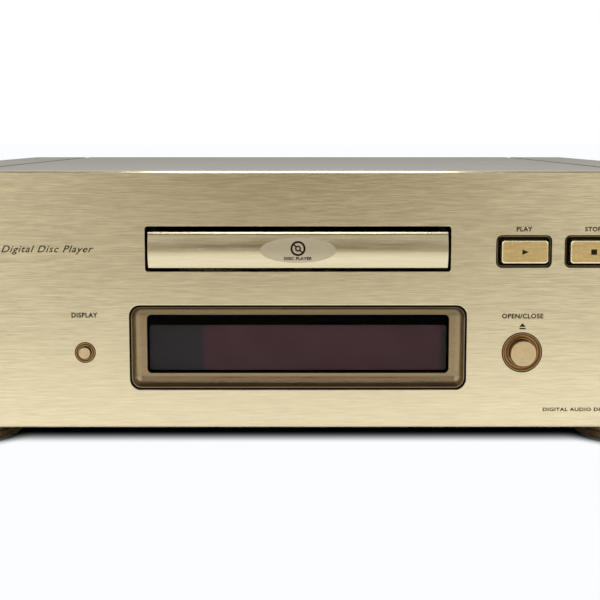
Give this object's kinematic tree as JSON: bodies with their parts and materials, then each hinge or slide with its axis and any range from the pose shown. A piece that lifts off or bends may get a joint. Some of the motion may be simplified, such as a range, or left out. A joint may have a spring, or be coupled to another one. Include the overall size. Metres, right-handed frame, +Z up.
{
  "type": "cd player",
  "caption": "Full-width hi-fi disc player with a front-loading drawer under a brushed gold panel, a recessed smoked display, sprung keys and round feet.",
  "frame": {"origin": "middle of the footprint, on the surface that the feet stand on", "axes": "+X to the right seen from the front, the front panel faces -Y, +Z up"},
  "size_m": [0.434, 0.402, 0.135],
  "materials": {
    "gold_panel": "champagne anodised, brushed along its length",
    "gold_door": "champagne anodised, satin",
    "gold_bezel": "champagne anodised, satin",
    "gold_keys": "champagne anodised, satin with a bright edge",
    "gold_rings": "champagne anodised, turned",
    "badge_metal": "satin, engraved",
    "key_frame_black": "black",
    "smoked_window": "smoked acrylic, glossy",
    "filter_red": "tinted film",
    "tube_glass": "clear, dark behind",
    "cover_paint": "warm grey, fine satin texture",
    "rear_paint": "black, fine satin texture",
    "plated_steel": "zinc plated",
    "foot_bronze": "bronze anodised, turned",
    "pad_rubber": "matt",
    "screw_steel": "black zinc",
    "board_green": "solder mask",
    "switch_black": "moulded",
    "tray_grey": "fine moulded texture",
    "loader_black": "moulded",
    "gear_white": "acetal, moulded",
    "belt_rubber": "matt",
    "motor_steel": "nickel plated",
    "deck_steel": "black",
    "turntable_black": "moulded with a rubber ring",
    "sled_zinc": "die-cast",
    "lens_glass": "coated",
    "rod_steel": "ground and polished",
    "core_steel": "varnished laminations",
    "can_sleeve": "printed sleeve",
    "spacer_brass": "turned",
    "jack_gold": "gold plated",
    "inlet_black": "moulded"
  },
  "bodies": {
    "case": {"audio_transformer": "core_steel", "base_chassis": "plated_steel", "board_spacers": "spacer_brass", "capacitor_cans": "can_sleeve", "case_screws": "screw_steel", "clamp_bridge": "plated_steel", "digital_transformer": "core_steel", "display_bezel": "gold_bezel", "display_filter": "filter_red", "display_tube": "tube_glass", "display_window": "smoked_window", "foot_front_left": "foot_bronze", "foot_front_right": "foot_bronze", "foot_pads": "pad_rubber", "foot_rear_left": "foot_bronze", "foot_rear_right": "foot_bronze", "foot_screws": "screw_steel", "front_board": "board_green", "front_panel": "gold_panel", "inner_front_frame": "plated_steel", "key_frames": "key_frame_black", "key_switches": "switch_black", "large_button_rings": "gold_rings", "loader_chassis": "loader_black", "loading_belt": "belt_rubber", "loading_motor": "motor_steel", "main_board": "board_green", "mains_inlet": "inlet_black", "mechanism_stand": "plated_steel", "optical_output": "inlet_black", "phono_jacks": "jack_gold", "rear_panel": "rear_paint", "side_cover_left": "cover_paint", "side_cover_right": "cover_paint", "small_button_rings": "gold_rings", "top_cover": "cover_paint"},
    "tray": {"disc_tray": "tray_grey", "tray_door": "gold_door", "tray_badge": "badge_metal"},
    "tray_drive_gear": {"tray_drive_gear": "gear_white"},
    "pulley_gear": {"pulley_gear": "gear_white"},
    "motor_pulley": {"motor_pulley": "gear_white"},
    "play_key": {"play_key": "gold_keys"},
    "stop_key": {"stop_key": "gold_keys"},
    "pause_key": {"pause_key": "gold_keys"},
    "open_close_button": {"open_close_button": "gold_keys"},
    "power_button": {"power_button": "gold_keys"},
    "display_button": {"display_button": "gold_keys"},
    "skip_back_button": {"skip_back_button": "gold_keys"},
    "skip_forward_button": {"skip_forward_button": "gold_keys"},
    "lift_cam": {"lift_cam": "gear_white"},
    "pickup_unit": {"pickup_deck": "deck_steel", "spindle_motor": "motor_steel", "guide_rod": "rod_steel", "sled_motor": "motor_steel"},
    "turntable": {"turntable": "turntable_black"},
    "laser_sled": {"laser_sled": "sled_zinc", "objective_lens": "lens_glass"},
    "leadscrew": {"leadscrew": "rod_steel"},
    "disc_clamp": {"disc_clamp": "turntable_black"}
  },
  "joints": [
    {"name": "tray_slide", "type": "slide", "parent": "case", "child": "tray", "axis": [0, -1, 0], "range_m": [0, 0.145]},
    {"name": "drive_gear_spin", "type": "hinge", "parent": "case", "child": "tray_drive_gear", "pos_m": [-0.04285, -0.161, 0.0877], "axis": [0, 0, 1], "range_deg": [0, 560]},
    {"name": "pulley_gear_spin", "type": "hinge", "parent": "case", "child": "pulley_gear", "pos_m": [-0.0217, -0.161, 0.08], "axis": [0, 0, -1], "range_deg": [0, 1400]},
    {"name": "motor_pulley_spin", "type": "hinge", "parent": "case", "child": "motor_pulley", "pos_m": [0.0143, -0.161, 0.0787], "axis": [0, 0, -1], "range_deg": [0, 5130]},
    {"name": "play_key_press", "type": "slide", "parent": "case", "child": "play_key", "axis": [0, 1, 0], "range_m": [0, 0.001], "stiffness_N_per_m": 500},
    {"name": "stop_key_press", "type": "slide", "parent": "case", "child": "stop_key", "axis": [0, 1, 0], "range_m": [0, 0.001], "stiffness_N_per_m": 500},
    {"name": "pause_key_press", "type": "slide", "parent": "case", "child": "pause_key", "axis": [0, 1, 0], "range_m": [0, 0.001], "stiffness_N_per_m": 500},
    {"name": "open_close_button_press", "type": "slide", "parent": "case", "child": "open_close_button", "axis": [0, 1, 0], "range_m": [0, 0.001], "stiffness_N_per_m": 500},
    {"name": "power_button_press", "type": "slide", "parent": "case", "child": "power_button", "axis": [0, 1, 0], "range_m": [0, 0.001], "stiffness_N_per_m": 500},
    {"name": "display_button_press", "type": "slide", "parent": "case", "child": "display_button", "axis": [0, 1, 0], "range_m": [0, 0.001], "stiffness_N_per_m": 500},
    {"name": "skip_back_button_press", "type": "slide", "parent": "case", "child": "skip_back_button", "axis": [0, 1, 0], "range_m": [0, 0.001], "stiffness_N_per_m": 500},
    {"name": "skip_forward_button_press", "type": "slide", "parent": "case", "child": "skip_forward_button", "axis": [0, 1, 0], "range_m": [0, 0.001], "stiffness_N_per_m": 500},
    {"name": "pickup_tilt", "type": "hinge", "parent": "case", "child": "pickup_unit", "pos_m": [0, -0.038, 0.078], "axis": [1, 0, 0], "range_deg": [0, 6]},
    {"name": "lift_cam_slide", "type": "slide", "parent": "case", "child": "lift_cam", "axis": [1, 0, 0], "range_m": [0, 0.0201]},
    {"name": "turntable_spin", "type": "hinge", "parent": "pickup_unit", "child": "turntable", "pos_m": [0, -0.12125, 0.098], "axis": [0, 0, 1], "continuous": true},
    {"name": "disc_clamp_spin", "type": "hinge", "parent": "case", "child": "disc_clamp", "pos_m": [0, -0.12125, 0.108], "axis": [0, 0, 1], "continuous": true},
    {"name": "sled_slide", "type": "slide", "parent": "pickup_unit", "child": "laser_sled", "axis": [0, 1, 0], "range_m": [0, 0.034]},
    {"name": "leadscrew_spin", "type": "hinge", "parent": "pickup_unit", "child": "leadscrew", "pos_m": [0.025, -0.09, 0.08545], "axis": [0, 1, 0], "range_deg": [0, 4100]}
  ],
  "couplings": [
    {"joint": "drive_gear_spin", "follows": "tray_slide", "rad_per_m": 66.667},
    {"joint": "pulley_gear_spin", "follows": "tray_slide", "rad_per_m": 166.67},
    {"joint": "motor_pulley_spin", "follows": "tray_slide", "rad_per_m": 611.11},
    {"joint": "lift_cam_slide", "follows": "pickup_tilt", "m_per_rad": 0.19099},
    {"joint": "disc_clamp_spin", "follows": "turntable_spin", "ratio": 1},
    {"joint": "leadscrew_spin", "follows": "sled_slide", "rad_per_m": 2094.4}
  ]
}
